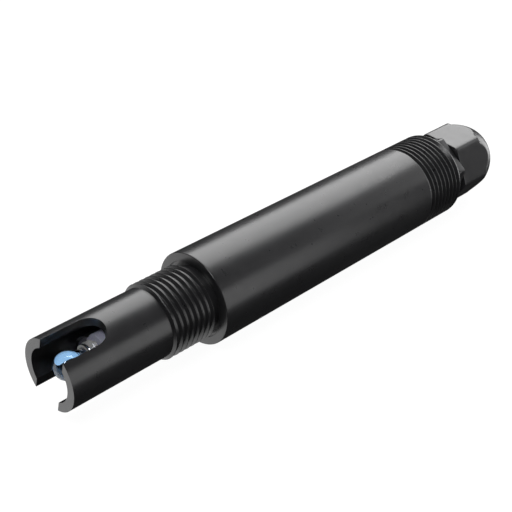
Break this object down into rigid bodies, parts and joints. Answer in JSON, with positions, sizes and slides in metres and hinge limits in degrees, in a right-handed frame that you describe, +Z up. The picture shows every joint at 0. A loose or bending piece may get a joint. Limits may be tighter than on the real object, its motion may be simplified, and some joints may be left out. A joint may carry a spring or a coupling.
{
  "type": "water quality probe",
  "caption": "Inline water quality probe: glass pH bulb in a slotted tip guard, round black barrel with pipe threads at both ends and a domed cable gland.",
  "frame": {"origin": "centre of the shoulder face behind the front thread, on the probe's axis", "axes": "+X along the axis from the tip towards the cable gland, +Z up with the tip slot turned 16 degrees from it towards -Y"},
  "size_m": [0.1733, 0.0266, 0.0266],
  "materials": {
    "barrel_plastic": "satin, fine moulded grain",
    "guard_plastic": "satin, fine moulded grain",
    "gland_plastic": "satin moulded",
    "cap_plastic": "matt moulded",
    "ring_plastic": "matt moulded",
    "white_plastic": "matt moulded",
    "sensing_glass": "polished",
    "clear_glass": "polished",
    "buffer_solution": "clear blue liquid",
    "reference_gel": "clear grey gel",
    "porous_ceramic": "matt, fine pores",
    "grey_sealant": "matt",
    "seal_rubber": "matt",
    "silver_wire": "drawn",
    "copper": "drawn",
    "screw_steel": "plated",
    "circuit_board": "lacquered",
    "tantalum": "moulded",
    "terminal_green": "moulded"
  },
  "bodies": {
    "probe": {"barrel": "barrel_plastic", "tip_guard": "guard_plastic", "glass_bulb": "sensing_glass", "buffer_fill": "buffer_solution", "stem_tube": "clear_glass", "stem_plug": "grey_sealant", "measuring_wire": "silver_wire", "outer_glass": "clear_glass", "junction_ring": "porous_ceramic", "reference_gel": "reference_gel", "reference_wire": "silver_wire", "temperature_element": "porous_ceramic", "temperature_leads": "copper", "glass_stopper": "grey_sealant", "glass_cap": "cap_plastic", "electrode_bush": "white_plastic", "electrode_o_rings": "seal_rubber", "lock_ring": "ring_plastic", "rear_spacer": "white_plastic", "shield_tube": "copper", "board_carrier": "white_plastic", "preamp_board": "circuit_board", "board_screws": "screw_steel", "input_header": "cap_plastic", "amplifier_chip": "cap_plastic", "board_resistors": "cap_plastic", "board_capacitors": "tantalum", "terminal_block": "terminal_green", "terminal_screws": "screw_steel", "rear_plug": "barrel_plastic", "plug_o_ring": "seal_rubber", "gland_body": "gland_plastic", "gland_o_ring": "seal_rubber", "seal_insert": "seal_rubber"},
    "thrust_ring": {"thrust_ring": "white_plastic"},
    "dome_nut": {"dome_nut": "gland_plastic"}
  },
  "joints": [
    {"name": "nut_travel", "type": "slide", "parent": "probe", "child": "thrust_ring", "axis": [1, 0, 0], "range_m": [0, 0.006]},
    {"name": "nut_turn", "type": "hinge", "parent": "thrust_ring", "child": "dome_nut", "pos_m": [0.117, 0, 0], "axis": [1, 0, 0], "range_deg": [0, 1440]}
  ],
  "couplings": [
    {"joint": "nut_turn", "follows": "nut_travel", "rad_per_m": 4188.8}
  ]
}
